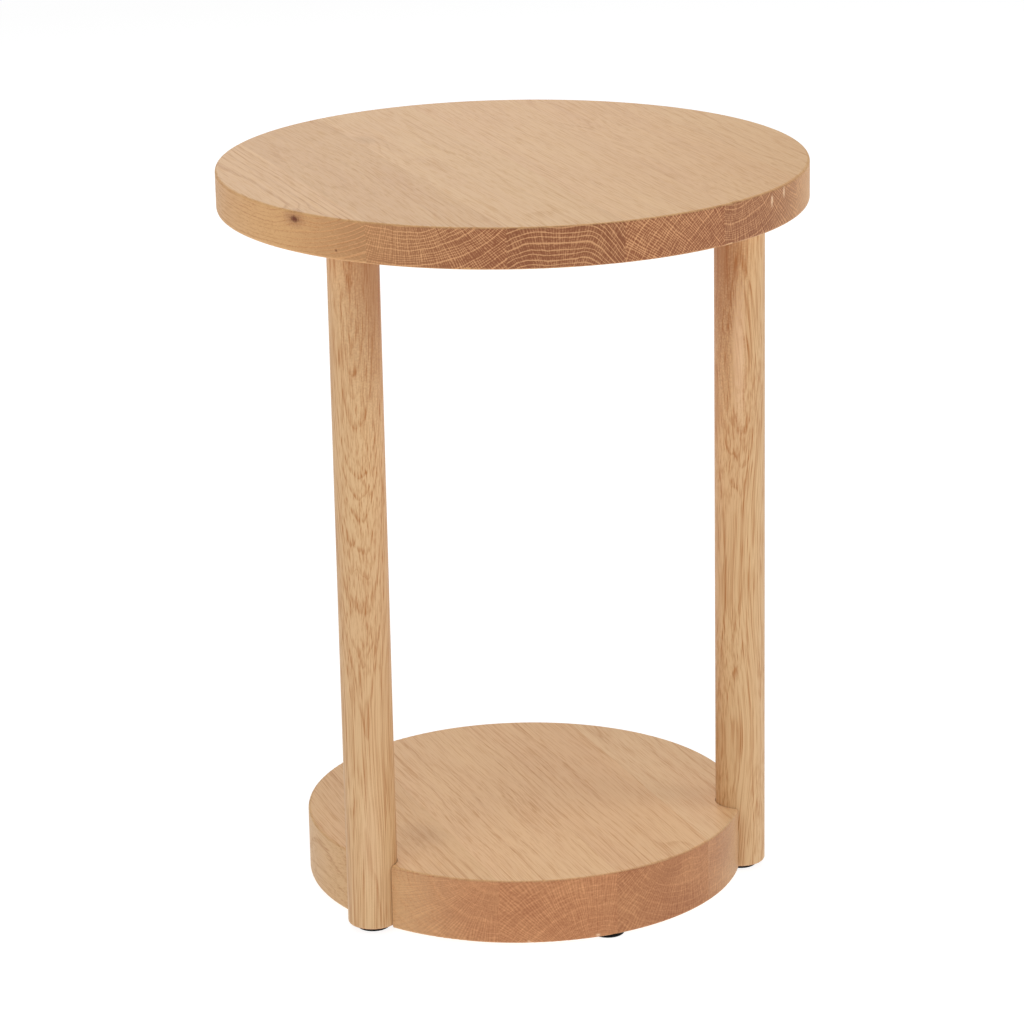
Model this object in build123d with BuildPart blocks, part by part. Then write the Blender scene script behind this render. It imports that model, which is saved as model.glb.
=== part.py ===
"""Round oak side table: a disc top carried by two round legs that stand in notches in a smaller disc base.

Units are millimetres. The origin is on the floor, under the centre of both discs, and +Z is up.
The boards of both discs run along Y. The legs stand left and right on the -Y side.
"""

from build123d import *
from math import cos, radians, sin
import os

os.makedirs("parts", exist_ok=True)

# Overall sizes
HEIGHT = 560
TOP_DIAMETER = 440
TOP_THICKNESS = 30
BASE_DIAMETER = 336
BASE_THICKNESS = 50
LEG_DIAMETER = 38
LEG_ANGLES = {"left": -90 - 64.4, "right": -90 + 64.4}
BASE_GLIDE_HEIGHT = 2.5
LEG_GLIDE_HEIGHT = 4

# Glued-up boards: where one joint lies in X, and how wide the boards are
TOP_BOARD_WIDTH = 82
TOP_BOARD_JOINT = -2
BASE_BOARD_WIDTH = 87
BASE_BOARD_JOINT = 8
NARROWEST_BOARD = 20

# Eased edges and gaps
TOP_EDGE_ROUND = 2
BASE_EDGE_ROUND = 2
LEG_FOOT_ROUND = 2
NOTCH_GAP = 0.4
BORE_GAP = 0.05
BOLT_GAP = 0.25
WASHER_GAP = 0.2

# Hanger bolts, from the legs up into the top
BOLT_RADIUS = 4
WOOD_THREAD_LENGTH = 40
WOOD_THREAD_PITCH = 4
WOOD_THREAD_ROOT = 2.8
METRIC_THREAD_LENGTH = 16
METRIC_THREAD_PITCH = 1.25
METRIC_THREAD_ROOT = 3.36
INSERT_RADIUS = 6
INSERT_ROOT = 5.2
TOP_INSERT_LENGTH = 17
LEG_INSERT_LENGTH = 15
INSERT_BARB_PITCH = 3

# Bolts from the pocket in the base, outwards into the legs
BOLT_HEIGHT = BASE_GLIDE_HEIGHT + BASE_THICKNESS / 2
BOLT_LENGTH = 45
BOLT_HEAD_RADIUS = 6.5
BOLT_HEAD_LENGTH = 8
BOLT_HEAD_BEVEL = 0.6
HEX_KEY_SIZE = 6
HEX_SOCKET_DEPTH = 4
BOLT_SEAT_REACH = 122
WASHER_RADIUS = 8
WASHER_THICKNESS = 1.6
SPOT_FACE_RADIUS = 9
POCKET_REACH = 106
POCKET_RADIUS = 15
POCKET_DEPTH = 36
DOWEL_RADIUS = 4
DOWEL_LENGTH = 30
DOWEL_RISE = 14
DOWEL_FLUTES = 12
DOWEL_FLUTE_RADIUS = 0.5

# Nailed glides: three under the base and a taller one under each leg
GLIDE_RADIUS = 12.5
GLIDE_EDGE_ROUND = 1
BASE_GLIDE_REACH = 155
BASE_GLIDE_COUNT = 3
BASE_GLIDE_START = -88
NAIL_RADIUS = 1
NAIL_LENGTH = 16
NAIL_POINT_LENGTH = 3
NAIL_HEAD_RADIUS = 3.3
NAIL_HEAD_THICKNESS = 0.8
NAIL_HEAD_BEVEL = 0.4
NAIL_RECESS_RADIUS = 3.5
NAIL_RECESS_DEPTH = 1.4

# Worked out from the sizes above
TOP_RADIUS = TOP_DIAMETER / 2
BASE_RADIUS = BASE_DIAMETER / 2
LEG_RADIUS = LEG_DIAMETER / 2
LEG_REACH = BASE_RADIUS
BASE_BOTTOM = BASE_GLIDE_HEIGHT
LEG_BOTTOM = LEG_GLIDE_HEIGHT
TOP_BOTTOM = HEIGHT - TOP_THICKNESS
LEG_FACE_REACH = LEG_REACH - LEG_RADIUS
DOWN = Vector(0, 0, -1)
UP = Vector(0, 0, 1)


def spot(angle, reach, height):
    """The point at a plan angle, a distance from the table's axis and a height."""
    return Vector(reach * cos(radians(angle)), reach * sin(radians(angle)), height)


def outward(angle):
    """The level direction from the table's axis towards a plan angle."""
    return spot(angle, 1, 0)


def drill_plane(origin, out_of):
    """A plane for a hole whose mouth opens in the direction out_of."""
    return Plane(origin=origin, z_dir=out_of)


def profile_plane(origin, direction):
    """A plane for a turned profile: its Y runs along the turning axis and its X is the radius."""
    side = Vector(1, 0, 0) if direction.Z else UP
    return Plane(origin=origin, x_dir=side, z_dir=side.cross(direction))


def ridges(start, length, pitch, crest, root):
    """Profile points (radius, height) of a ridged shank, from start upwards."""
    count = int(length / pitch)
    points = []
    for number in range(count):
        foot = start + number * pitch
        points += [(root, foot), (crest, foot + pitch / 2)]
    return points + [(root, start + count * pitch)]


def turn(points, origin, direction):
    """A solid turned from a profile of (radius, height) points, with its height along direction."""
    with BuildPart() as turned:
        with BuildSketch(profile_plane(origin, direction)):
            with BuildLine():
                Polyline(points, close=True)
            make_face()
        revolve(axis=Axis(origin, direction))
    return turned.part


def sleeve(length):
    """Profile points of a barbed insert that stands on the floor of its bore."""
    bore = BOLT_RADIUS + BORE_GAP
    barbs = ridges(0, length - INSERT_BARB_PITCH / 2, INSERT_BARB_PITCH, INSERT_RADIUS, INSERT_ROOT)
    return [(bore, 0)] + barbs + [(INSERT_RADIUS, length), (bore, length)]


def save(piece, name):
    """Label a finished piece and write its STEP file."""
    piece.label = name
    export_step(piece, f"parts/{name}.step")


def leg_spots(reach, height):
    """One point for each leg, on the line from the table's axis to that leg."""
    return [spot(angle, reach, height) for angle in LEG_ANGLES.values()]


def nail_bore_depth(glide_height):
    """How deep a nail's bore runs into the wood above a glide."""
    return NAIL_LENGTH + NAIL_RECESS_DEPTH - glide_height + 1


base_glide_angles = [BASE_GLIDE_START + 360 / BASE_GLIDE_COUNT * number for number in range(BASE_GLIDE_COUNT)]
base_glides = dict(zip(
    ("base_front", "base_right", "base_left"),
    [spot(angle, BASE_GLIDE_REACH, 0) for angle in base_glide_angles],
))
leg_glides = {f"leg_{side}": spot(angle, LEG_REACH, 0) for side, angle in LEG_ANGLES.items()}

# The top, before it is divided into its boards
with BuildPart() as top_disc:
    with BuildSketch(Plane.XY.offset(TOP_BOTTOM)):
        Circle(TOP_RADIUS)
    extrude(amount=TOP_THICKNESS)
    fillet(top_disc.edges().filter_by(GeomType.CIRCLE), TOP_EDGE_ROUND)
    with Locations(*[drill_plane(point, DOWN) for point in leg_spots(LEG_REACH, TOP_BOTTOM)]):
        Hole(INSERT_RADIUS + BORE_GAP, depth=TOP_INSERT_LENGTH + 2)

# The base, before it is divided into its boards
with BuildPart() as base_disc:
    with BuildSketch(Plane.XY.offset(BASE_BOTTOM)):
        Circle(BASE_RADIUS)
        with Locations(*leg_spots(LEG_REACH, 0)):
            Circle(LEG_RADIUS + NOTCH_GAP, mode=Mode.SUBTRACT)
    extrude(amount=BASE_THICKNESS)
    rim_edges = base_disc.edges().group_by(Axis.Z)[0] + base_disc.edges().group_by(Axis.Z)[-1]
    fillet(rim_edges.filter_by(lambda edge: edge.radius > LEG_DIAMETER), BASE_EDGE_ROUND)
    for angle in LEG_ANGLES.values():
        with BuildSketch(drill_plane(spot(angle, POCKET_REACH, BASE_BOTTOM), DOWN)):
            Circle(POCKET_RADIUS)
        extrude(amount=-POCKET_DEPTH, mode=Mode.SUBTRACT)
        with Locations(drill_plane(spot(angle, POCKET_REACH, BOLT_HEIGHT), -outward(angle))):
            CounterBoreHole(
                radius=BOLT_RADIUS + BOLT_GAP,
                counter_bore_radius=SPOT_FACE_RADIUS,
                counter_bore_depth=BOLT_SEAT_REACH - POCKET_REACH,
                depth=LEG_REACH - POCKET_REACH,
            )
        for rise in (-DOWEL_RISE, DOWEL_RISE):
            mouth = spot(angle, LEG_FACE_REACH + 1, BOLT_HEIGHT + rise)
            with Locations(drill_plane(mouth, outward(angle))):
                Hole(DOWEL_RADIUS + BORE_GAP, depth=DOWEL_LENGTH / 2 + 2)
    with Locations(*[drill_plane(foot + UP * BASE_BOTTOM, DOWN) for foot in base_glides.values()]):
        Hole(NAIL_RADIUS + BORE_GAP, depth=nail_bore_depth(BASE_GLIDE_HEIGHT))


def boards(disc, kind, radius, joint, width, floor, thickness):
    """Divide a disc along X at its glue joints and save each board."""
    reach = radius - NARROWEST_BOARD
    joints = [joint + width * step for step in range(-9, 10)]
    inner = [place for place in joints if -reach < place < reach]
    bounds = [-radius - 1] + inner + [radius + 1]
    for number, (left, right) in enumerate(zip(bounds, bounds[1:]), start=1):
        with BuildPart() as board:
            add(disc)
            with Locations(((left + right) / 2, 0, floor + thickness / 2)):
                Box(right - left, radius * 3, thickness * 2, mode=Mode.INTERSECT)
        save(board.part, f"{kind}_board_{number}")


boards(top_disc.part, "top", TOP_RADIUS, TOP_BOARD_JOINT, TOP_BOARD_WIDTH, TOP_BOTTOM, TOP_THICKNESS)
boards(base_disc.part, "base", BASE_RADIUS, BASE_BOARD_JOINT, BASE_BOARD_WIDTH, BASE_BOTTOM, BASE_THICKNESS)

for side, angle in LEG_ANGLES.items():
    axis_foot = spot(angle, LEG_REACH, LEG_BOTTOM)
    axis_head = spot(angle, LEG_REACH, TOP_BOTTOM)

    # A leg, bored at its head, its foot and, for the base, on its inner side
    with BuildPart() as leg:
        with BuildSketch(Plane(origin=axis_foot, z_dir=UP)):
            Circle(LEG_RADIUS)
        extrude(amount=TOP_BOTTOM - LEG_BOTTOM)
        fillet(leg.edges().group_by(Axis.Z)[0], LEG_FOOT_ROUND)
        with Locations(drill_plane(axis_head, UP)):
            Hole(BOLT_RADIUS + BORE_GAP, depth=WOOD_THREAD_LENGTH + 2)
        with Locations(drill_plane(axis_foot, DOWN)):
            Hole(NAIL_RADIUS + BORE_GAP, depth=nail_bore_depth(LEG_GLIDE_HEIGHT))
        with Locations(drill_plane(spot(angle, LEG_FACE_REACH, BOLT_HEIGHT), -outward(angle))):
            Hole(INSERT_RADIUS + BORE_GAP, depth=LEG_INSERT_LENGTH + 2)
        for rise in (-DOWEL_RISE, DOWEL_RISE):
            with Locations(drill_plane(spot(angle, LEG_FACE_REACH, BOLT_HEIGHT + rise), -outward(angle))):
                Hole(DOWEL_RADIUS + BORE_GAP, depth=DOWEL_LENGTH / 2 + 1)
    save(leg.part, f"leg_{side}")

    # Hanger bolt: a coarse wood thread below the joint and a machine thread above it
    tip = -WOOD_THREAD_LENGTH
    hanger_profile = [(0, tip)]
    hanger_profile += ridges(tip + WOOD_THREAD_PITCH, WOOD_THREAD_LENGTH - 2 * WOOD_THREAD_PITCH,
                             WOOD_THREAD_PITCH, BOLT_RADIUS, WOOD_THREAD_ROOT)
    hanger_profile += ridges(0, METRIC_THREAD_LENGTH - METRIC_THREAD_PITCH,
                             METRIC_THREAD_PITCH, BOLT_RADIUS, METRIC_THREAD_ROOT)
    hanger_profile += [(0, hanger_profile[-1][1])]
    save(turn(hanger_profile, axis_head, UP), f"hanger_bolt_{side}")

    # Brass insert in the top: a barbed sleeve flush with the underside
    save(turn(sleeve(TOP_INSERT_LENGTH), axis_head, UP), f"top_insert_{side}")

    # Brass insert in the leg, facing the base
    insert_end = spot(angle, LEG_FACE_REACH + LEG_INSERT_LENGTH + 1.5, BOLT_HEIGHT)
    save(turn(sleeve(LEG_INSERT_LENGTH), insert_end, -outward(angle)), f"leg_insert_{side}")

    # Socket head bolt from the pocket in the base, with its washer on the spot face
    seat = spot(angle, BOLT_SEAT_REACH, BOLT_HEIGHT)
    with BuildPart() as washer:
        with BuildSketch(Plane(origin=seat, z_dir=-outward(angle))):
            Circle(WASHER_RADIUS)
            Circle(BOLT_RADIUS + WASHER_GAP, mode=Mode.SUBTRACT)
        extrude(amount=WASHER_THICKNESS)
    save(washer.part, f"base_washer_{side}")

    head_seat = seat - outward(angle) * WASHER_THICKNESS
    thread_start = BOLT_LENGTH - METRIC_THREAD_LENGTH
    bolt_profile = [(0, -BOLT_HEAD_LENGTH), (BOLT_HEAD_RADIUS - BOLT_HEAD_BEVEL, -BOLT_HEAD_LENGTH)]
    bolt_profile += [(BOLT_HEAD_RADIUS, BOLT_HEAD_BEVEL - BOLT_HEAD_LENGTH), (BOLT_HEAD_RADIUS, 0)]
    bolt_profile += [(BOLT_RADIUS, 0), (BOLT_RADIUS, thread_start)]
    bolt_profile += ridges(thread_start, METRIC_THREAD_LENGTH,
                           METRIC_THREAD_PITCH, BOLT_RADIUS, METRIC_THREAD_ROOT)
    bolt_profile += [(0, bolt_profile[-1][1])]
    with BuildPart() as bolt:
        add(turn(bolt_profile, head_seat, outward(angle)))
        with BuildSketch(Plane(origin=head_seat - outward(angle) * BOLT_HEAD_LENGTH, z_dir=outward(angle))):
            RegularPolygon(radius=HEX_KEY_SIZE / 2, side_count=6, major_radius=False)
        extrude(amount=HEX_SOCKET_DEPTH, mode=Mode.SUBTRACT)
    save(bolt.part, f"base_bolt_{side}")

    # Fluted dowels above and below the bolt, half in the base and half in the leg
    for level, rise in (("lower", -DOWEL_RISE), ("upper", DOWEL_RISE)):
        dowel_start = spot(angle, LEG_FACE_REACH - DOWEL_LENGTH / 2, BOLT_HEIGHT + rise)
        with BuildPart() as dowel:
            with BuildSketch(Plane(origin=dowel_start, z_dir=outward(angle))):
                Circle(DOWEL_RADIUS)
                with PolarLocations(DOWEL_RADIUS, DOWEL_FLUTES):
                    Circle(DOWEL_FLUTE_RADIUS, mode=Mode.SUBTRACT)
            extrude(amount=DOWEL_LENGTH)
        save(dowel.part, f"dowel_{side}_{level}")


def nailed_glide(name, foot, height):
    """A glide that stands on the floor at foot, and its nail, whose head sits in a recess under it."""
    with BuildPart() as glide:
        with BuildSketch(Plane(origin=foot, z_dir=UP)):
            Circle(GLIDE_RADIUS)
        extrude(amount=height)
        fillet(glide.edges().group_by(Axis.Z)[0], GLIDE_EDGE_ROUND)
        with Locations(drill_plane(foot, DOWN)):
            CounterBoreHole(
                radius=NAIL_RADIUS + BORE_GAP,
                counter_bore_radius=NAIL_RECESS_RADIUS,
                counter_bore_depth=NAIL_RECESS_DEPTH,
                depth=height,
            )
    save(glide.part, f"glide_{name}")

    head_bottom = NAIL_RECESS_DEPTH - NAIL_HEAD_THICKNESS
    shank_end = NAIL_RECESS_DEPTH + NAIL_LENGTH
    nail_profile = [(0, head_bottom), (NAIL_HEAD_RADIUS - NAIL_HEAD_BEVEL, head_bottom)]
    nail_profile += [(NAIL_HEAD_RADIUS, head_bottom + NAIL_HEAD_BEVEL), (NAIL_HEAD_RADIUS, NAIL_RECESS_DEPTH)]
    nail_profile += [(NAIL_RADIUS, NAIL_RECESS_DEPTH), (NAIL_RADIUS, shank_end - NAIL_POINT_LENGTH)]
    nail_profile += [(0, shank_end)]
    save(turn(nail_profile, foot, UP), f"glide_nail_{name}")


for name, foot in base_glides.items():
    nailed_glide(name, foot, BASE_GLIDE_HEIGHT)
for name, foot in leg_glides.items():
    nailed_glide(name, foot, LEG_GLIDE_HEIGHT)
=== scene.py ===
"""Looks for a round side table in solid oak, laid out as an add-on.

The table's boards and legs are the frame's own pieces and get an oak worked out from growth rings, rays
and pores. The glides and their nails are built here, and the hidden fittings get plated steel, brass and
beech. Lengths are in metres in the frame, and in millimetres inside the wood's own patterns.
"""

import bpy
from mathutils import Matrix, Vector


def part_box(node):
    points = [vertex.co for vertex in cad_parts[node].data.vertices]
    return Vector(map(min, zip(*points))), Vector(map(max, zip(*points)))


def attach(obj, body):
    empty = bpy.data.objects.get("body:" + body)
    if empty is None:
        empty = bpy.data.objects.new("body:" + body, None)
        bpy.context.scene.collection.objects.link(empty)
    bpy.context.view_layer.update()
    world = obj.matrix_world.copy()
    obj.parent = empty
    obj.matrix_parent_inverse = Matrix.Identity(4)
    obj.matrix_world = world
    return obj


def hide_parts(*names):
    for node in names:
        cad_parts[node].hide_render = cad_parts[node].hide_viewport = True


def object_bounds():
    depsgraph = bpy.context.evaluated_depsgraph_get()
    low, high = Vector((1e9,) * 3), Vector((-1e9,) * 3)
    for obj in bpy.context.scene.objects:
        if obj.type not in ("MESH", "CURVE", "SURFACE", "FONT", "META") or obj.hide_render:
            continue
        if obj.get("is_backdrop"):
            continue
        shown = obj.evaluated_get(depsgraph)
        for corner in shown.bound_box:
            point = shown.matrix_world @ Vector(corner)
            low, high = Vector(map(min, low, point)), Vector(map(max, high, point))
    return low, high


bl_info = {
    "name": "Round oak side table",
    "version": (1, 0, 0),
    "blender": (4, 5, 0),
    "location": "View3D > Sidebar > Side table",
    "description": "Finishes the boards, legs, glides and fittings of a round oak side table",
    "category": "Object",
}

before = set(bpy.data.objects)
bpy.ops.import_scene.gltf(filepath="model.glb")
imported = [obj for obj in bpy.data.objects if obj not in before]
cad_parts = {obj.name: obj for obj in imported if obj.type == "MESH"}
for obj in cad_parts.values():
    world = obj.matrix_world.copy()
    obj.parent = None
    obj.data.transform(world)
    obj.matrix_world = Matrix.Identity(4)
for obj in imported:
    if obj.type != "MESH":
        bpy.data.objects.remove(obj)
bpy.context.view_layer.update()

import math

import bpy
from bpy.props import FloatProperty, FloatVectorProperty, IntProperty, PointerProperty
from mathutils import Matrix, Vector

BODY = "root"
MM = 1000.0
SIDES = ("left", "right")
BASE_GLIDES = ("base_front", "base_right", "base_left")
LEG_GLIDES = ("leg_left", "leg_right")


# ---------------------------------------------------------------- node wiring


def find_socket(sockets, key):
    """The socket with this identifier, name or place among a node's sockets."""
    if isinstance(key, int):
        return sockets[key]
    for socket in sockets:
        if socket.identifier == key:
            return socket
    return sockets[key]


def add_node(tree, kind, settings=None, sockets=None, output=0):
    """Add a node, set its settings, fill or link its input sockets, and return one output as a Wire."""
    node = tree.nodes.new(kind)
    for name, value in (settings or {}).items():
        setattr(node, name, value)
    pairs = sockets.items() if isinstance(sockets, dict) else enumerate(sockets or [])
    for key, value in pairs:
        socket = find_socket(node.inputs, key)
        if isinstance(value, Wire):
            tree.links.new(value.socket, socket)
        else:
            socket.default_value = value
    return Wire(tree, find_socket(node.outputs, output)) if node.outputs else node


class Wire:
    """A node's output that Python arithmetic can use: each operator adds one Math node."""

    def __init__(self, tree, socket):
        self.tree = tree
        self.socket = socket

    def math(self, operation, *values):
        """A Math node on this wire and up to two more values."""
        return add_node(self.tree, "ShaderNodeMath", {"operation": operation}, [self, *values])

    def other(self, name):
        """Another output of the same node."""
        return Wire(self.tree, find_socket(self.socket.node.outputs, name))

    def __add__(self, value):
        return self.math("ADD", value)

    __radd__ = __add__

    def __sub__(self, value):
        return self.math("SUBTRACT", value)

    def __rsub__(self, value):
        return add_node(self.tree, "ShaderNodeMath", {"operation": "SUBTRACT"}, [value, self])

    def __mul__(self, value):
        return self.math("MULTIPLY", value)

    __rmul__ = __mul__

    def __truediv__(self, value):
        return self.math("DIVIDE", value)

    def __pow__(self, value):
        return self.math("POWER", value)

    def step(self, low, high, start=0.0, end=1.0):
        """A smooth step from start, at and below low, to end, at and above high."""
        return add_node(
            self.tree, "ShaderNodeMapRange", {"interpolation_type": "SMOOTHSTEP"},
            {"Value": self, "From Min": low, "From Max": high, "To Min": start, "To Max": end},
        )


def combine(tree, x, y, z):
    """A vector from three wires or numbers."""
    return add_node(tree, "ShaderNodeCombineXYZ", sockets=[x, y, z])


def mix(tree, factor, first, second, blend="MIX"):
    """Two colours mixed by a factor."""
    settings = {"data_type": "RGBA", "blend_type": blend, "clamp_factor": True}
    sockets = {"Factor_Float": factor, "A_Color": first, "B_Color": second}
    return add_node(tree, "ShaderNodeMix", settings, sockets, "Result_Color")


def noise(tree, place, scale=1.0, detail=0.0, roughness=0.5):
    """A noise value from 0 to 1 at a place: a vector wire, or a single wire for noise along a line."""
    flat = place.socket.type == "VALUE"
    settings = {"noise_dimensions": "1D" if flat else "3D", "normalize": True}
    sockets = {"W" if flat else "Vector": place, "Scale": scale, "Detail": detail, "Roughness": roughness}
    return add_node(tree, "ShaderNodeTexNoise", settings, sockets)


def shade(colour, factor=1.0, warmth=0.0):
    """A colour with its brightness scaled and its hue moved towards red, as four channels."""
    red, green, blue = colour[:3]
    return (red * factor * (1 + warmth), green * factor, blue * factor * (1 - warmth), 1.0)


# ---------------------------------------------------------------- settings


class OakSettings(bpy.types.PropertyGroup):
    """Colours and grain of the oak."""

    face_light: FloatVectorProperty(
        name="Face light", description="Late wood on long grain", subtype="COLOR",
        size=3, min=0, max=1, default=(0.74, 0.455, 0.222))
    face_dark: FloatVectorProperty(
        name="Face dark", description="Early wood and pores on long grain", subtype="COLOR",
        size=3, min=0, max=1, default=(0.46, 0.18, 0.050))
    end_light: FloatVectorProperty(
        name="End light", description="Ring lines and rays on end grain", subtype="COLOR",
        size=3, min=0, max=1, default=(0.69, 0.352, 0.165))
    end_dark: FloatVectorProperty(
        name="End dark", description="Dense wood on end grain", subtype="COLOR",
        size=3, min=0, max=1, default=(0.29, 0.098, 0.036))
    # This colour darkens the wood round knots and in patches, and is also painted shade under the top on
    # the upper ends of the legs.
    stain_and_shade: FloatVectorProperty(
        name="Stain and shade", description="Darker wood round knots, in smudges and up the legs", subtype="COLOR",
        size=3, min=0, max=1, default=(0.31, 0.118, 0.045))
    knot: FloatVectorProperty(
        name="Knot", description="Heart of the small pin knots", subtype="COLOR",
        size=3, min=0, max=1, default=(0.15, 0.036, 0.009))
    fleck: FloatVectorProperty(
        name="Fleck", description="Pale ray flecks and nicks", subtype="COLOR",
        size=3, min=0, max=1, default=(0.86, 0.58, 0.36))
    relief: FloatProperty(
        name="Relief", description="Depth of the open pores", subtype="DISTANCE",
        min=0, max=0.001, default=0.00006)


class GlideSettings(bpy.types.PropertyGroup):
    """Sizes and colours of the glides, their nails and the hidden fittings."""

    radius: FloatProperty(
        name="Radius", description="Radius of a glide", subtype="DISTANCE",
        min=0.005, max=0.03, default=0.0125)
    base_height: FloatProperty(
        name="Base height", description="Height of the glides under the base", subtype="DISTANCE",
        min=0.001, max=0.01, default=0.0025)
    leg_height: FloatProperty(
        name="Leg height", description="Height of the glides under the legs", subtype="DISTANCE",
        min=0.001, max=0.01, default=0.004)
    edge: FloatProperty(
        name="Edge", description="Rounding of a glide's lower edge", subtype="DISTANCE",
        min=0.0002, max=0.002, default=0.001)
    recess: FloatProperty(
        name="Recess", description="Radius of the hollow for the nail head", subtype="DISTANCE",
        min=0.002, max=0.006, default=0.0035)
    recess_depth: FloatProperty(
        name="Recess depth", description="Depth of the hollow for the nail head", subtype="DISTANCE",
        min=0.0005, max=0.002, default=0.0014)
    head: FloatProperty(
        name="Nail head", description="Radius of a nail's head", subtype="DISTANCE",
        min=0.001, max=0.005, default=0.0033)
    shank: FloatProperty(
        name="Nail shank", description="Radius of a nail's shank", subtype="DISTANCE",
        min=0.0005, max=0.002, default=0.001)
    length: FloatProperty(
        name="Nail length", description="Length of a nail under its head", subtype="DISTANCE",
        min=0.005, max=0.03, default=0.016)
    segments: IntProperty(
        name="Segments", description="Steps round each glide and nail", min=24, max=192, default=72)
    plastic: FloatVectorProperty(
        name="Plastic", description="Colour of the moulded glides", subtype="COLOR",
        size=3, min=0, max=1, default=(0.006, 0.006, 0.006))
    steel: FloatVectorProperty(
        name="Steel", description="Colour of the zinc-plated bolts, washers and nails", subtype="COLOR",
        size=3, min=0, max=1, default=(0.56, 0.57, 0.58))
    brass: FloatVectorProperty(
        name="Brass", description="Colour of the threaded inserts", subtype="COLOR",
        size=3, min=0, max=1, default=(0.72, 0.50, 0.22))
    beech: FloatVectorProperty(
        name="Beech", description="Colour of the dowels", subtype="COLOR",
        size=3, min=0, max=1, default=(0.62, 0.38, 0.21))


class StageSettings(bpy.types.PropertyGroup):
    """Floor, lights and camera."""

    floor: FloatVectorProperty(
        name="Floor", description="Colour of the floor", subtype="COLOR",
        size=3, min=0, max=1, default=(0.3, 0.3, 0.3))
    glow: FloatProperty(
        name="Glow", description="The floor's own light, which keeps it pale", min=0, default=0.88)
    sky: FloatProperty(
        name="Surround", description="Brightness all round", min=0, default=0.326)
    key_power: FloatProperty(
        name="Key", description="Power of the softbox above", unit="POWER", min=0, default=10.7)
    front_power: FloatProperty(
        name="Front", description="Power of the softbox in front", unit="POWER", min=0, default=10.9)
    left_power: FloatProperty(
        name="Left", description="Power of the softbox on the left", unit="POWER", min=0, default=11.2)
    right_power: FloatProperty(
        name="Right", description="Power of the softbox on the right", unit="POWER", min=0, default=17.3)
    back_power: FloatProperty(
        name="Back", description="Power of the softbox behind", unit="POWER", min=0, default=25.5)
    lens: FloatProperty(
        name="Lens", description="Camera's focal length", unit="CAMERA", min=10, default=138.9)


# ---------------------------------------------------------------- oak


OAK_INPUTS = (
    ("Place", "NodeSocketVector", (0.0, 0.0, 0.0)),
    ("End", "NodeSocketFloat", 0.0),
    ("Ring Width", "NodeSocketFloat", 4.5),
    ("Wander", "NodeSocketFloat", 4.0),
    ("Ripple", "NodeSocketFloat", 1.2),
    ("Swell", "NodeSocketFloat", 0.0),
    ("Drift", "NodeSocketFloat", 0.0),
    ("Drift Start", "NodeSocketFloat", -100.0),
    ("Drift End", "NodeSocketFloat", 100.0),
    ("Figure", "NodeSocketFloat", 0.2),
    ("Pores", "NodeSocketFloat", 0.3),
    ("Streaks", "NodeSocketFloat", 0.3),
    ("Base", "NodeSocketFloat", 0.15),
    ("Rays", "NodeSocketFloat", 70.0),
    ("Ring Lines", "NodeSocketFloat", 0.7),
    ("Ray Lines", "NodeSocketFloat", 1.0),
    ("Breaks", "NodeSocketFloat", 1.0),
    ("Lattice", "NodeSocketFloat", 1.0),
    ("Seed", "NodeSocketFloat", 0.0),
    ("Face Light", "NodeSocketColor", (0.6, 0.4, 0.2, 1.0)),
    ("Face Dark", "NodeSocketColor", (0.4, 0.2, 0.1, 1.0)),
    ("End Light", "NodeSocketColor", (0.6, 0.3, 0.2, 1.0)),
    ("End Dark", "NodeSocketColor", (0.3, 0.1, 0.1, 1.0)),
)
OAK_OUTPUTS = (
    ("Colour", "NodeSocketColor"),
    ("Roughness", "NodeSocketFloat"),
    ("Height", "NodeSocketFloat"),
)
PAINTED_SIDE_SHADE = (0.86, 0.83, 0.80, 1.0)    # painted shade: a board's upright long-grain sides are darkened against its top and bottom faces
PORE_STRENGTH = 0.55
LACQUER_IOR = 1.4
RAGGED_EDGE = 700.0                     # fineness of the ragged edge of a mark, in cycles per metre
MOTTLE_RELIEF = 0.00003                 # metres of relief on metal and plastic


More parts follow.
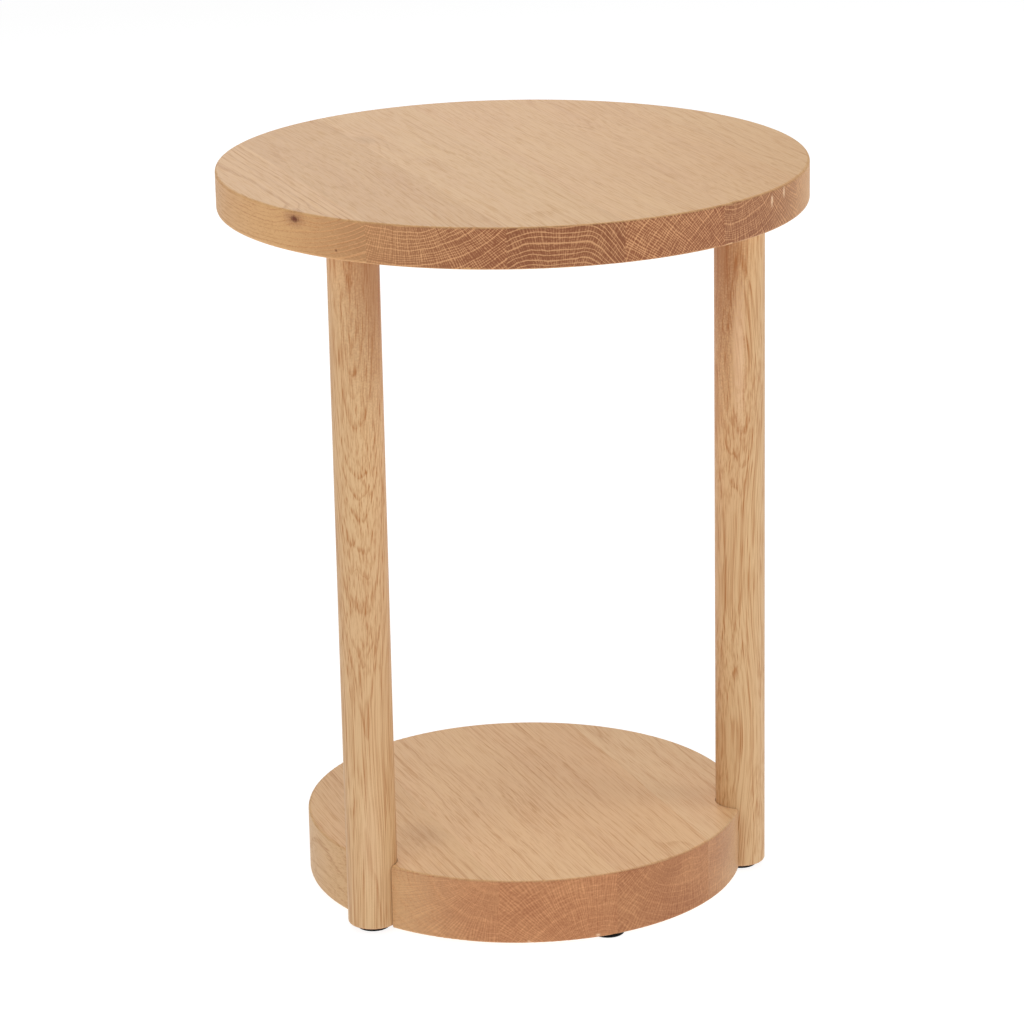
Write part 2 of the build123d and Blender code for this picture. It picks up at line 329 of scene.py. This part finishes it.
def oak_group():
    """The shared oak pattern, for a place in millimetres from the tree's pith, with Z along the grain."""
    tree = bpy.data.node_groups.get("oak grain")
    if tree:
        return tree
    tree = bpy.data.node_groups.new("oak grain", "ShaderNodeTree")
    for name, kind, default in OAK_INPUTS:
        tree.interface.new_socket(name, in_out="INPUT", socket_type=kind).default_value = default
    for name, kind in OAK_OUTPUTS:
        tree.interface.new_socket(name, in_out="OUTPUT", socket_type=kind)
    source = add_node(tree, "NodeGroupInput")
    given = {name: source.other(name) for name, _, _ in OAK_INPUTS}
    seed = given["Seed"]

    split = add_node(tree, "ShaderNodeSeparateXYZ", sockets=[given["Place"]])
    across, depth, along = split, split.other("Y"), split.other("Z")

    # The pith wanders slowly along the board, and the rings ripple
    slow = along * 0.0042 + seed * 7.31
    sway = (noise(tree, slow, detail=1.0) - 0.5) * given["Wander"] * 2.0
    heave = (noise(tree, slow + 53.7, detail=1.0) - 0.5) * given["Wander"] * 2.0
    drift = add_node(
        tree, "ShaderNodeMapRange", {"interpolation_type": "SMOOTHSTEP"},
        {"Value": along, "From Min": given["Drift Start"], "From Max": given["Drift End"],
         "To Min": 0.0, "To Max": given["Drift"]},
    )
    shifted = along + seed * 517.0
    ripple_place = combine(tree, across * 0.05, depth * 0.05, shifted * 0.009)
    ripple = (noise(tree, ripple_place, detail=2.0) - 0.5) * given["Ripple"] * 4.0
    u = across + sway
    v = depth + heave + drift
    radius = (u * u + v * v) ** 0.5 + ripple + given["Swell"]
    angle = v.math("ARCTAN2", u)

    # Growth rings of uneven width, each with porous early wood on its inner side
    ring_place = radius / given["Ring Width"]
    ring_place = ring_place + (noise(tree, ring_place * 0.37 + seed) - 0.5) * 1.6
    ring = ring_place.math("FLOOR")
    phase = ring_place - ring
    early = phase.step(0.03, 0.34, 1.0, 0.0) + phase.step(0.92, 1.0)
    year = add_node(tree, "ShaderNodeTexWhiteNoise", {"noise_dimensions": "1D"}, {"W": ring + seed * 3.0})
    early = early * (0.4 + 0.6 * year)

    # Pores, streaks and clouds are noise drawn out along the grain, in cycles per millimetre
    def fibres(length, across_rate, along_rate, **settings):
        place = combine(tree, u * across_rate, v * across_rate, length * along_rate)
        return noise(tree, place, **settings)

    broken = shifted * given["Breaks"]
    dash = fibres(broken, 1.5, 0.028, detail=1.0)
    hair = fibres(broken, 1.0, 0.0065, detail=2.0, roughness=0.7)
    streak = fibres(shifted, 0.25, 0.003, detail=1.0)
    cloud = fibres(shifted, 0.028, 0.0055, detail=1.0)
    pores = (dash + early * 0.10).step(0.47, 0.70)

    # Long grain
    grain = early * (dash + 0.5) * given["Figure"] + pores * given["Pores"]
    grain = grain + ((hair - 0.5) * 3.6 + (streak - 0.5)) * given["Streaks"] + given["Base"]
    face = mix(tree, grain, given["Face Light"], given["Face Dark"])

    # End grain: pale ring lines crossed by fine rays, with dark vessels between them. Its noise is laid
    # out round the pith, in cycles per ray, per millimetre outwards and per millimetre along
    def spokes(ray_rate, out_rate, along_rate, **settings):
        place = combine(tree, angle * given["Rays"] * ray_rate, radius * out_rate, shifted * along_rate)
        return noise(tree, place, **settings)

    line = (phase - 0.5).math("ABSOLUTE").step(0.32, 0.48)
    jitter = spokes(0.55, 0.05, 0.03)
    rays = ((angle * given["Rays"] + jitter * 1.6) * math.tau).math("SINE") * 0.5
    clump = spokes(0.3, 0.12, 0.03)
    weave = spokes(0.9, 0.95, 0.05, detail=1.0)
    lattice = (line - 0.35) * given["Ring Lines"] + rays * (clump * 1.5 + 0.1) * given["Ray Lines"]
    lattice = lattice + (weave - 0.5) * 1.4
    lattice = (lattice + (clump - 0.5) * 0.5) * given["Lattice"] + (cloud - 0.5) * 0.4 + 0.44
    butt = mix(tree, lattice, given["End Dark"], given["End Light"])

    end = given["End"]
    colour = mix(tree, end, face, butt)
    tint = (cloud - 0.5) * 0.16 + 1.0
    colour = mix(tree, 1.0, colour, combine(tree, tint * 0.5 + 0.5, tint, tint), "MULTIPLY")
    roughness = 0.50 + 0.10 * pores + 0.08 * end
    height = 1.0 - pores * (0.35 + 0.65 * early) + rays * end * 0.2

    target = tree.nodes.new("NodeGroupOutput")
    for name, wire in (("Colour", colour), ("Roughness", roughness), ("Height", height)):
        tree.links.new(wire.socket, target.inputs[name])
    return tree


def nearness(tree, coordinates, spot, size, inner, outer, ragged=0.0):
    """1 within an ellipsoid round a spot, fading to 0 at its edge."""
    away = add_node(tree, "ShaderNodeVectorMath", {"operation": "SUBTRACT"}, [coordinates, Vector(spot)])
    away = add_node(tree, "ShaderNodeVectorMath", {"operation": "DIVIDE"}, [away, Vector(size)])
    reach = add_node(tree, "ShaderNodeVectorMath", {"operation": "LENGTH"}, [away], "Value")
    if ragged:
        reach = reach + (noise(tree, coordinates, RAGGED_EDGE) - 0.5) * ragged
    return reach.step(inner, outer, 1.0, 0.0)


def oak_material(name, grain, pith, turn=(0.0, 0.0, 0.0), tint=(1.0, 1.0, 1.0), end_tone=1.0, warmth=0.0,
                 marks=(), swells=(), **figure):
    """Oak for one piece.

    grain is "Y" for a board and "Z" for a leg. pith is the tree's centre in millimetres, in X and Z for a
    board and in X and Y for a leg. turn leans the grain, in degrees. tint scales the channels of the long
    grain, and end_tone and warmth shift the end grain. marks are stains, knots, pale flecks and painted
    shade as (spot, size, depth, colour), and swells bend the rings round a spot as (spot, size,
    millimetres).
    The rest are inputs of the oak pattern.
    """
    oak = bpy.context.scene.side_table_oak
    material = bpy.data.materials.new(name)
    material.use_nodes = True
    tree = material.node_tree
    tree.nodes.clear()
    coordinates = add_node(tree, "ShaderNodeTexCoord", output="Object")
    normal = add_node(tree, "ShaderNodeSeparateXYZ", sockets=[coordinates.other("Normal")])
    upright = (-90.0, 0.0, 0.0) if grain == "Y" else (0.0, 0.0, 0.0)
    centre = (pith[0] / MM, 0.0, pith[1] / MM) if grain == "Y" else (pith[0] / MM, pith[1] / MM, 0.0)
    centred = add_node(tree, "ShaderNodeVectorMath", {"operation": "SUBTRACT"}, [coordinates, centre])
    place = add_node(
        tree, "ShaderNodeMapping", {"vector_type": "POINT"},
        {"Vector": centred, "Rotation": [math.radians(a + b) for a, b in zip(upright, turn)],
         "Scale": (MM, MM, MM)},
    )
    facing = normal.other("Y" if grain == "Y" else "Z").math("ABSOLUTE")
    end = (facing ** 1.6).step(0.06, 0.86)
    swell = 0.0
    for spot, size, amount in swells:
        swell = nearness(tree, coordinates, spot, size, 0.0, 1.0) * amount + swell
    sockets = {
        "Place": place, "End": end, "Swell": swell,
        "Face Light": [a * b for a, b in zip(oak.face_light, tint)] + [1.0],
        "Face Dark": [a * b for a, b in zip(oak.face_dark, tint)] + [1.0],
        "End Light": shade(oak.end_light, end_tone, warmth),
        "End Dark": shade(oak.end_dark, end_tone, warmth),
    }
    sockets.update({key.replace("_", " ").title(): value for key, value in figure.items()})
    pattern = add_node(tree, "ShaderNodeGroup", {"node_tree": oak_group()}, sockets, "Colour")
    colour = pattern
    # Painted shade: a board's upright long-grain sides are made darker than its top and bottom faces.
    if grain == "Y":
        side = (1.0 - normal.other("Z").math("ABSOLUTE")) * (1.0 - end)
        colour = mix(tree, side, colour, PAINTED_SIDE_SHADE, "MULTIPLY")
    for spot, size, depth, stuff in marks:
        mark = nearness(tree, coordinates, spot, size, 0.15, 1.0, ragged=0.5)
        colour = mix(tree, mark * depth, colour, (*getattr(oak, stuff), 1.0))
    bump = add_node(
        tree, "ShaderNodeBump",
        sockets={"Strength": PORE_STRENGTH, "Distance": oak.relief, "Height": pattern.other("Height")},
    )
    shader = add_node(
        tree, "ShaderNodeBsdfPrincipled",
        sockets={"Base Color": colour, "Roughness": pattern.other("Roughness"), "Normal": bump,
                 "IOR": LACQUER_IOR},
    )
    add_node(tree, "ShaderNodeOutputMaterial", sockets={"Surface": shader})
    return material


def plain_material(name, colour, metallic, roughness, grain=400.0, spread=0.12, gloss=0.5):
    """Metal, plastic or plain beech with a fine mottled surface, grain being its cycles per metre."""
    material = bpy.data.materials.new(name)
    material.use_nodes = True
    tree = material.node_tree
    tree.nodes.clear()
    coordinates = add_node(tree, "ShaderNodeTexCoord", output="Object")
    mottle = noise(tree, coordinates, grain, detail=3.0)
    tinted = mix(tree, mottle.step(0.3, 0.7), shade(colour, 1 - spread), shade(colour, 1 + spread))
    bump = add_node(
        tree, "ShaderNodeBump", sockets={"Strength": 0.3, "Distance": MOTTLE_RELIEF, "Height": mottle})
    shader = add_node(
        tree, "ShaderNodeBsdfPrincipled",
        sockets={"Base Color": tinted, "Metallic": metallic,
                 "Roughness": roughness + (mottle - 0.5) * 0.2, "Specular IOR Level": gloss,
                 "Normal": bump},
    )
    add_node(tree, "ShaderNodeOutputMaterial", sockets={"Surface": shader})
    return material


def assign(node_name, material):
    """Give one of the frame's pieces a material."""
    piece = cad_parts[node_name]
    piece.data.materials.clear()
    piece.data.materials.append(material)
    return piece


# ---------------------------------------------------------------- boards and legs


TOP_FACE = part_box("top_board_3")[1].z
BASE_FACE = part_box("base_board_2")[1].z
TOP_MIDDLE = (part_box("top_board_3")[0].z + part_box("top_board_3")[1].z) / 2 * MM
BASE_MIDDLE = (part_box("base_board_2")[0].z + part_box("base_board_2")[1].z) / 2 * MM
LEG_TINT = (0.965, 1.02, 1.09)
TOP_GRAIN = dict(figure=0.14, pores=0.20, streaks=0.26, base=0.02, breaks=1.8, warmth=0.02)
BASE_GRAIN = dict(figure=0.27, pores=0.28, streaks=0.36, base=0.0, breaks=1.7, lattice=0.42,
                  ring_lines=0.34, ray_lines=0.6)
LEG_GRAIN = dict(figure=0.34, pores=0.42, streaks=0.80, base=0.06, breaks=0.9)


def finish_boards(layer, middle, boards, grain):
    """Give each board of one disc, numbered from the left, its own oak."""
    for number, board in enumerate(boards, start=1):
        across, height = board.pop("pith")
        material = oak_material(
            f"oak {layer} board {number}", "Y", (across, height + middle), **{**grain, **board})
        assign(f"{layer}_board_{number}", material)


class SIDETABLE_OT_top_boards(bpy.types.Operator):
    """Give each board of the top its own piece of the tree"""

    bl_idname = "side_table.top_boards"
    bl_label = "Top boards"

    def execute(self, context):
        knot = (-0.2003, -0.0910, TOP_FACE - 0.0055)
        small_knot = (-0.1813, -0.1246, TOP_FACE - 0.0230)
        knots = (
            (knot, (0.016, 0.016, 0.008), 0.55, "stain_and_shade"),
            (knot, (0.0062, 0.0062, 0.0034), 1.0, "knot"),
            (small_knot, (0.0017, 0.0017, 0.0014), 0.8, "knot"),
        )
        dark_patch = (-0.077, 0.111, TOP_FACE)
        flecks = (
            ((0.1290, -0.1782, TOP_FACE - 0.0075), (0.0018, 0.004, 0.0060), 0.85, "fleck"),
            ((0.1438, -0.1665, TOP_FACE - 0.0050), (0.0020, 0.004, 0.0060), 0.75, "fleck"),
        )
        waves = (
            (dark_patch, (0.022, 0.05, 0.03), 5.0),
            ((-0.051, -0.213, TOP_FACE - 0.015), (0.024, 0.15, 0.06), 4.0),
            ((0.006, -0.213, TOP_FACE - 0.015), (0.032, 0.15, 0.06), 12.0),
        )
        boards = (
            dict(pith=(-215, 70), tint=(1.09, 1.05, 0.95), end_tone=0.80, warmth=0.05,
                 ring_width=3.0, figure=0.42, wander=2.0, ripple=0.6, ring_lines=1.4, ray_lines=0.35,
                 rays=32.0, seed=1.0, marks=knots, swells=((knot, (0.03, 0.03, 0.014), 4.0),)),
            dict(pith=(-146, 68), tint=(1.015, 0.95, 0.83), end_tone=0.92,
                 ring_width=2.6, ring_lines=0.9, ray_lines=0.8, rays=56.0, seed=2.0),
            dict(pith=(-52, -62), tint=(1.10, 1.08, 1.00), end_tone=0.86,
                 ring_width=3.6, ring_lines=1.0, ray_lines=0.5, rays=38.0, seed=3.0,
                 marks=((dark_patch, (0.012, 0.022, 0.02), 0.16, "stain_and_shade"),), swells=waves),
            dict(pith=(134, -88), tint=(1.12, 1.09, 1.03), end_tone=0.95,
                 ring_width=2.4, ray_lines=0.85, rays=78.0, seed=4.0),
            dict(pith=(92, 55), tint=(1.13, 1.10, 1.05), end_tone=0.88,
                 ring_width=2.3, rays=42.0, seed=5.0, marks=flecks),
            dict(pith=(205, -85), tint=(1.13, 1.12, 1.09), end_tone=0.96,
                 ring_width=2.6, rays=58.0, seed=6.0),
        )
        finish_boards("top", TOP_MIDDLE, boards, TOP_GRAIN)
        return {"FINISHED"}


class SIDETABLE_OT_base_boards(bpy.types.Operator):
    """Give each board of the base its own piece of the tree"""

    bl_idname = "side_table.base_boards"
    bl_label = "Base boards"

    def execute(self, context):
        # A darker patch on the face of board 1, just inside the left leg.
        dark_patch = (-0.099, -0.037, BASE_FACE)
        eye = (0.071, -0.146, BASE_FACE)
        nicks = (
            ((-0.0079, -0.1678, 0.0048), (0.0026, 0.004, 0.0018), 0.9, "fleck"),
            ((-0.0591, -0.1573, 0.0042), (0.0016, 0.004, 0.0014), 0.7, "fleck"),
        )
        boards = (
            dict(pith=(-82, 32), tint=(1.04, 1.09, 1.12), end_tone=1.14, warmth=0.02,
                 ring_width=5.0, rays=28.0, seed=11.0,
                 marks=((dark_patch, (0.02, 0.035, 0.02), 0.16, "stain_and_shade"),
                        ((-0.0835, -0.1458, 0.034), (0.014, 0.02, 0.018), 0.20, "stain_and_shade"))),
            dict(pith=(-8, -60), tint=(1.12, 1.20, 1.29), end_tone=1.10, warmth=0.03,
                 ring_width=5.5, rays=38.0, seed=12.0,
                 marks=(((0.004, -0.168, 0.024), (0.022, 0.02, 0.03), 0.16, "stain_and_shade"), *nicks)),
            dict(pith=(75, 60), tint=(1.10, 1.16, 1.25), end_tone=0.97, warmth=0.04,
                 ring_width=5.0, rays=36.0, seed=13.0,
                 marks=(((0.0528, -0.1595, 0.041), (0.024, 0.02, 0.011), 0.22, "stain_and_shade"),),
                 swells=((eye, (0.02, 0.034, 0.03), 7.0),)),
            dict(pith=(112, 85), tint=(1.12, 1.24, 1.41), end_tone=1.05,
                 ring_width=4.5, rays=45.0, seed=14.0),
        )
        finish_boards("base", BASE_MIDDLE, boards, BASE_GRAIN)
        return {"FINISHED"}


class SIDETABLE_OT_legs(bpy.types.Operator):
    """Give each leg its own upright piece of the tree"""

    bl_idname = "side_table.legs"
    bl_label = "Legs"

    def execute(self, context):
        behind = Vector((0.36, 0.93))    # from each leg's middle towards the pith, reach millimetres off
        # The first mark on each leg is painted shade under the top on the leg's upper end; on the left
        # leg it also stands for a darker reddish streak in the wood.
        legs = {
            "left": dict(
                reach=34, ring_width=2.1, drift=-26.0, drift_start=180.0, drift_end=540.0, seed=21.0,
                marks=(((-0.144, -0.088, 0.530), (0.030, 0.030, 0.17), 0.54, "stain_and_shade"),
                       ((-0.1583, -0.0903, 0.075), (0.012, 0.012, 0.075), 0.2, "fleck"))),
            "right": dict(
                reach=40, ring_width=2.2, wander=10.0, seed=22.0,
                marks=(((0.1337, -0.0793, 0.530), (0.025, 0.025, 0.19), 0.70, "stain_and_shade"),
                       ((0.1436, -0.0899, 0.415), (0.0065, 0.008, 0.075), 0.5, "fleck"))),
        }
        for side, leg in legs.items():
            low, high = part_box(f"leg_{side}")
            centre = (low + high) / 2 * MM
            pith = Vector(centre[:2]) + behind * leg.pop("reach")
            turn = (0.0, 0.0, math.degrees(math.atan2(behind.x, behind.y)))
            material = oak_material(
                f"oak leg {side}", "Z", pith, turn=turn, tint=LEG_TINT, **LEG_GRAIN, **leg)
            assign(f"leg_{side}", material)
        return {"FINISHED"}


# ---------------------------------------------------------------- glides and fittings


MERGE_DISTANCE = 0.000005    # closes the seam and the poles of a turned mesh
SHARP_ANGLE = math.radians(35)
EASING = 0.0002              # bevel on the arrises of glides and nail heads
EDGE_STEPS = 4               # steps round a glide's lower edge
BORE_GAP = 0.00005           # clearance between a nail and its bore
NAIL_HEAD_HEIGHT = 0.0008
NAIL_HEAD_ROUND = 0.0005     # height over which a nail head draws in
NAIL_POINT_LENGTH = 0.003


def turning_tree(name, sizes, outline, closed):
    """A node tree that turns an outline round an upright axis, with a copy on each point of a mesh.

    sizes are the tree's named inputs, and outline gives each point's (radius, height) from them.
    """
    tree = bpy.data.node_groups.new(name, "GeometryNodeTree")
    tree.interface.new_socket("Spots", in_out="INPUT", socket_type="NodeSocketGeometry")
    for label, value in sizes.items():
        kind = "NodeSocketInt" if isinstance(value, int) else "NodeSocketFloat"
        tree.interface.new_socket(label, in_out="INPUT", socket_type=kind).default_value = value
    tree.interface.new_socket("Finish", in_out="INPUT", socket_type="NodeSocketMaterial")
    tree.interface.new_socket("Geometry", in_out="OUTPUT", socket_type="NodeSocketGeometry")
    source = add_node(tree, "NodeGroupInput")
    given = {label: source.other(label) for label in sizes}
    points = outline(given)
    if closed:
        points = points + points[:1]
    rows, steps = len(points), given["Segments"]

    grid = add_node(tree, "GeometryNodeMeshGrid",
                    sockets={"Size X": 1.0, "Size Y": 1.0, "Vertices X": steps + 1, "Vertices Y": rows})
    place = add_node(tree, "ShaderNodeSeparateXYZ", sockets=[add_node(tree, "GeometryNodeInputPosition")])
    row = ((place.other("Y") + 0.5) * (rows - 1)).math("ROUND")
    turn = (place + 0.5) * math.tau
    columns = []
    for axis in range(2):
        switch = tree.nodes.new("GeometryNodeIndexSwitch")
        switch.data_type = "FLOAT"
        while len(switch.index_switch_items) < rows:
            switch.index_switch_items.new()
        tree.links.new(row.socket, switch.inputs[0])
        for number, point in enumerate(points):
            value = point[axis]
            if isinstance(value, Wire):
                tree.links.new(value.socket, switch.inputs[number + 1])
            else:
                switch.inputs[number + 1].default_value = value
        columns.append(Wire(tree, switch.outputs[0]))
    reach, height = columns
    turned = combine(tree, reach * turn.math("COSINE"), reach * turn.math("SINE"), height)
    body = add_node(tree, "GeometryNodeSetPosition", sockets={"Geometry": grid, "Position": turned})
    body = add_node(tree, "GeometryNodeMergeByDistance",
                    sockets={"Geometry": body, "Distance": MERGE_DISTANCE})
    copies = add_node(tree, "GeometryNodeInstanceOnPoints",
                      sockets={"Points": source.other("Spots"), "Instance": body})
    solid = add_node(tree, "GeometryNodeRealizeInstances", sockets={"Geometry": copies})
    finished = add_node(tree, "GeometryNodeSetMaterial",
                        sockets={"Geometry": solid, "Material": source.other("Finish")})
    target = tree.nodes.new("NodeGroupOutput")
    tree.links.new(finished.socket, target.inputs["Geometry"])
    return tree


def turned_piece(name, tree, spots, sizes, finish):
    """One mesh with a turned shape at each spot, made by the tree and kept as a plain mesh."""
    mesh = bpy.data.meshes.new(name)
    mesh.from_pydata(spots, [], [])
    piece = bpy.data.objects.new(name, mesh)
    bpy.context.scene.collection.objects.link(piece)
    modifier = piece.modifiers.new("turning", "NODES")
    modifier.node_group = tree
    values = {**sizes, "Finish": finish}
    for item in tree.interface.items_tree:
        if item.in_out == "INPUT" and item.name in values:
            modifier[item.identifier] = values[item.name]
    evaluated = piece.evaluated_get(bpy.context.evaluated_depsgraph_get())
    solid = bpy.data.meshes.new_from_object(evaluated)
    piece.modifiers.remove(modifier)
    piece.data = solid
    solid.materials.pop(index=0)
    bpy.data.meshes.remove(mesh)
    solid.name = name
    solid.shade_smooth()
    solid.set_sharp_from_angle(angle=SHARP_ANGLE)
    return piece


def glide_outline(given):
    """The outline of a glide, from its top round the nail's hollow and the rounded lower edge."""
    radius, height, edge = given["Radius"], given["Height"], given["Edge"]
    recess, recess_depth = given["Recess"], given["Recess Depth"]
    points = [(given["Bore"], height), (given["Bore"], recess_depth), (recess, recess_depth),
              (recess, EASING), (recess + EASING, 0.0)]
    for number in range(EDGE_STEPS + 1):
        bend = math.pi / 2 * number / EDGE_STEPS
        points.append((radius + edge * (math.sin(bend) - 1.0), edge * (1.0 - math.cos(bend))))
    return points + [(radius, height - EASING), (radius - EASING, height)]


def nail_outline(given):
    """The outline of a nail, from the middle of its head to its point."""
    head, seat, shank, length = given["Head"], given["Recess Depth"], given["Shank"], given["Length"]
    under = seat - NAIL_HEAD_HEIGHT
    return [(0.0, under), (head - 3 * EASING, under), (head - EASING, under + EASING),
            (head, under + NAIL_HEAD_ROUND), (head, seat), (shank, seat),
            (shank, seat + length - NAIL_POINT_LENGTH), (0.0, seat + length)]


class SIDETABLE_OT_glides(bpy.types.Operator):
    """Turn the glides and the nails that hold them"""

    bl_idname = "side_table.glides"
    bl_label = "Glides and nails"

    def execute(self, context):
        glides = context.scene.side_table_glides
        plastic = plain_material("black plastic", glides.plastic, 0.0, 0.6, grain=900.0, gloss=0.08)
        steel = plain_material("bright steel", glides.steel, 1.0, 0.32)
        sizes = {"Radius": glides.radius, "Height": glides.base_height, "Edge": glides.edge,
                 "Bore": glides.shank + BORE_GAP, "Recess": glides.recess,
                 "Recess Depth": glides.recess_depth, "Segments": glides.segments}
        tree = turning_tree("glide turning", sizes, glide_outline, closed=True)
        self.keep("base_glides", "glide_", BASE_GLIDES, tree, sizes, plastic, "glide_plastic")
        sizes["Height"] = glides.leg_height
        self.keep("leg_glides", "glide_", LEG_GLIDES, tree, sizes, plastic, "glide_plastic")
        sizes = {"Head": glides.head, "Shank": glides.shank, "Length": glides.length,
                 "Recess Depth": glides.recess_depth, "Segments": glides.segments}
        tree = turning_tree("nail turning", sizes, nail_outline, closed=False)
        places = BASE_GLIDES + LEG_GLIDES
        self.keep("glide_nails", "glide_nail_", places, tree, sizes, steel, "zinc_steel")
        return {"FINISHED"}

    def keep(self, name, prefix, places, tree, sizes, finish, slot):
        """Turn one piece with a copy at each place, hide the frame's own pieces there, and hang it on the
        body.
        """
        spots = []
        for place in places:
            low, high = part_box(f"glide_{place}")
            spots.append(((low.x + high.x) / 2, (low.y + high.y) / 2, low.z))
        piece = turned_piece(name, tree, spots, sizes, finish)
        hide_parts(*[prefix + place for place in places])
        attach(piece, BODY)


class SIDETABLE_OT_fittings(bpy.types.Operator):
    """Finish the bolts, washers, inserts and dowels inside the joints"""

    bl_idname = "side_table.fittings"
    bl_label = "Hidden fittings"

    def execute(self, context):
        glides = context.scene.side_table_glides
        zinc = plain_material("zinc plate", glides.steel, 1.0, 0.38, grain=350.0, spread=0.10)
        brass = plain_material("brass", glides.brass, 1.0, 0.34, grain=500.0, spread=0.08)
        beech = plain_material("beech", glides.beech, 0.0, 0.6, grain=300.0, spread=0.15)
        finishes = {"hanger_bolt": zinc, "base_bolt": zinc, "base_washer": zinc,
                    "top_insert": brass, "leg_insert": brass}
        for side in SIDES:
            for fitting, material in finishes.items():
                assign(f"{fitting}_{side}", material)
            for level in ("lower", "upper"):
                assign(f"dowel_{side}_{level}", beech)
        return {"FINISHED"}


# ---------------------------------------------------------------- stage


class SIDETABLE_OT_stage(bpy.types.Operator):
    """Set the floor, the soft lights and the camera"""

    bl_idname = "side_table.stage"
    bl_label = "Stage"

    def execute(self, context):
        stage = context.scene.side_table_stage
        self.lay_floor(stage)
        self.hang_lights(stage)
        self.set_camera(stage)
        return {"FINISHED"}

    def lay_floor(self, stage):
        """A large pale floor, a hair below the glides, with a glow that keeps shadows on it faint."""
        size, level = 30.0, -0.0003
        mesh = bpy.data.meshes.new("floor")
        corners = [(-size, -size, level), (size, -size, level), (size, size, level), (-size, size, level)]
        mesh.from_pydata(corners, [], [(0, 1, 2, 3)])
        floor = bpy.data.objects.new("floor", mesh)
        bpy.context.scene.collection.objects.link(floor)
        material = bpy.data.materials.new("pale floor")
        material.use_nodes = True
        shader = material.node_tree.nodes["Principled BSDF"]
        shader.inputs["Base Color"].default_value = (*stage.floor, 1.0)
        shader.inputs["Roughness"].default_value = 0.9
        shader.inputs["Specular IOR Level"].default_value = 0.0
        shader.inputs["Emission Color"].default_value = (1.0, 1.0, 1.0, 1.0)
        shader.inputs["Emission Strength"].default_value = stage.glow
        mesh.materials.append(material)
        floor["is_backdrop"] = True

    def hang_lights(self, stage):
        """An even white surround, a softbox overhead and one on each of the four sides.

        Each softbox has a name, a place and a width in metres, and a power in watts.
        """
        world = bpy.data.worlds.new("surround")
        world.use_nodes = True
        background = world.node_tree.nodes["Background"]
        background.inputs["Color"].default_value = (1.0, 1.0, 1.0, 1.0)
        background.inputs["Strength"].default_value = stage.sky
        bpy.context.scene.world = world
        aim = Vector((0.0, 0.0, 0.28))    # the table's middle
        boxes = (
            ("key softbox", (-0.5, -0.7, 3.0), 2.2, stage.key_power),
            ("front softbox", (-0.9, -2.6, 1.9), 1.8, stage.front_power),
            ("left softbox", (-2.4, -1.2, 1.3), 1.6, stage.left_power),
            ("right softbox", (2.2, -1.6, 1.3), 1.6, stage.right_power),
            ("back softbox", (0.4, 2.4, 2.0), 1.8, stage.back_power),
        )
        for name, place, size, power in boxes:
            light = bpy.data.lights.new(name, "AREA")
            light.shape = "SQUARE"
            light.size = size
            light.energy = power
            lamp = bpy.data.objects.new(name, light)
            lamp.location = place
            lamp.rotation_euler = (aim - Vector(place)).to_track_quat("-Z", "Y").to_euler()
            bpy.context.scene.collection.objects.link(lamp)

    def set_camera(self, stage):
        """A long lens, above the table and to its left, looking down at it."""
        low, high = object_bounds()
        middle = (low + high) / 2
        azimuth, distance, height = math.radians(-21.1252), 2.87003, 1.1372 + BASE_FACE
        pitch, yaw, roll = 0.3051, -0.0018, -0.0194
        camera_data = bpy.data.cameras.new("camera")
        camera_data.lens = stage.lens
        camera_data.sensor_width = 36.0
        camera_data.clip_end = 100.0
        camera = bpy.data.objects.new("camera", camera_data)
        place = Vector((middle.x + math.sin(azimuth) * distance,
                        middle.y - math.cos(azimuth) * distance, height))
        look = Matrix.Rotation(azimuth - yaw, 4, "Z") @ Matrix.Rotation(math.pi / 2 - pitch, 4, "X")
        camera.matrix_world = Matrix.Translation(place) @ look @ Matrix.Rotation(roll, 4, "Z")
        bpy.context.scene.collection.objects.link(camera)
        bpy.context.scene.camera = camera
        bpy.context.scene.view_settings.view_transform = "Standard"


class SIDETABLE_PT_panel(bpy.types.Panel):
    """Lists the table's pieces and settings"""

    bl_label = "Side table"
    bl_idname = "SIDETABLE_PT_panel"
    bl_space_type = "VIEW_3D"
    bl_region_type = "UI"
    bl_category = "Side table"

    def draw(self, context):
        for operator in OPERATORS:
            self.layout.operator(operator.bl_idname)
        for settings in (context.scene.side_table_oak, context.scene.side_table_glides,
                         context.scene.side_table_stage):
            box = self.layout.box()
            for name in settings.__annotations__:
                box.prop(settings, name)


OPERATORS = (SIDETABLE_OT_top_boards, SIDETABLE_OT_base_boards, SIDETABLE_OT_legs, SIDETABLE_OT_glides,
             SIDETABLE_OT_fittings, SIDETABLE_OT_stage)
CLASSES = (OakSettings, GlideSettings, StageSettings, *OPERATORS, SIDETABLE_PT_panel)


def register():
    """Register the classes and hang the settings on the scene."""
    for item in CLASSES:
        bpy.utils.register_class(item)
    bpy.types.Scene.side_table_oak = PointerProperty(type=OakSettings)
    bpy.types.Scene.side_table_glides = PointerProperty(type=GlideSettings)
    bpy.types.Scene.side_table_stage = PointerProperty(type=StageSettings)


def unregister():
    """Take the settings off the scene and unregister the classes."""
    del bpy.types.Scene.side_table_oak
    del bpy.types.Scene.side_table_glides
    del bpy.types.Scene.side_table_stage
    for item in reversed(CLASSES):
        bpy.utils.unregister_class(item)


def main():
    """Finish every piece."""
    register()
    bpy.ops.side_table.top_boards()
    bpy.ops.side_table.base_boards()
    bpy.ops.side_table.legs()
    bpy.ops.side_table.glides()
    bpy.ops.side_table.fittings()
    bpy.ops.side_table.stage()


if __name__ == "__main__":
    main()
